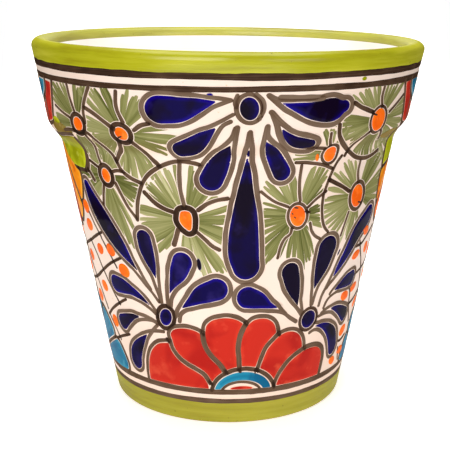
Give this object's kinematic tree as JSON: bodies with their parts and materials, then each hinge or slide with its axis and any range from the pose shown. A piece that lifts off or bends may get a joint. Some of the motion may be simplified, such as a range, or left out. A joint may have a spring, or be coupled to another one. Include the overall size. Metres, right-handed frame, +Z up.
{
  "type": "glazed flowerpot",
  "caption": "Tapered glazed earthenware flowerpot with a thick collar, rolled lip, flat base and a central drain hole.",
  "frame": {"origin": "middle of the base, on the surface that the pot stands on", "axes": "+Z up along the pot's axis, -Y the side that carries the middle of the front painted panel, +X to the viewer's right of it"},
  "size_m": [0.28, 0.28, 0.263],
  "materials": {
    "terracotta": "bare low-fired clay, matt and slightly sandy",
    "cream_glaze": "glossy cream tin glaze",
    "lime_glaze": "glossy lime glaze with brush streaks",
    "brown_glaze": "dark brown painted line, half gloss",
    "cobalt_glaze": "thick glossy cobalt glaze",
    "red_glaze": "glossy red glaze",
    "orange_glaze": "raised orange glaze",
    "amber_glaze": "glossy amber glaze",
    "turquoise_glaze": "glossy turquoise glaze",
    "olive_glaze": "thin olive green brush strokes"
  },
  "bodies": {
    "root": {"floor_slab": "terracotta", "wall_shell": "terracotta", "collar_strap": "terracotta", "lip_roll": "terracotta", "inner_glaze": "cream_glaze", "ground_glaze": "cream_glaze", "rim_glaze": "lime_glaze", "rim_line_upper": "brown_glaze", "rim_cream_band": "cream_glaze", "rim_line_lower": "brown_glaze", "foot_line_upper": "brown_glaze", "foot_cream_band": "cream_glaze", "foot_line_lower": "brown_glaze", "foot_glaze": "lime_glaze"}
  },
  "joints": []
}
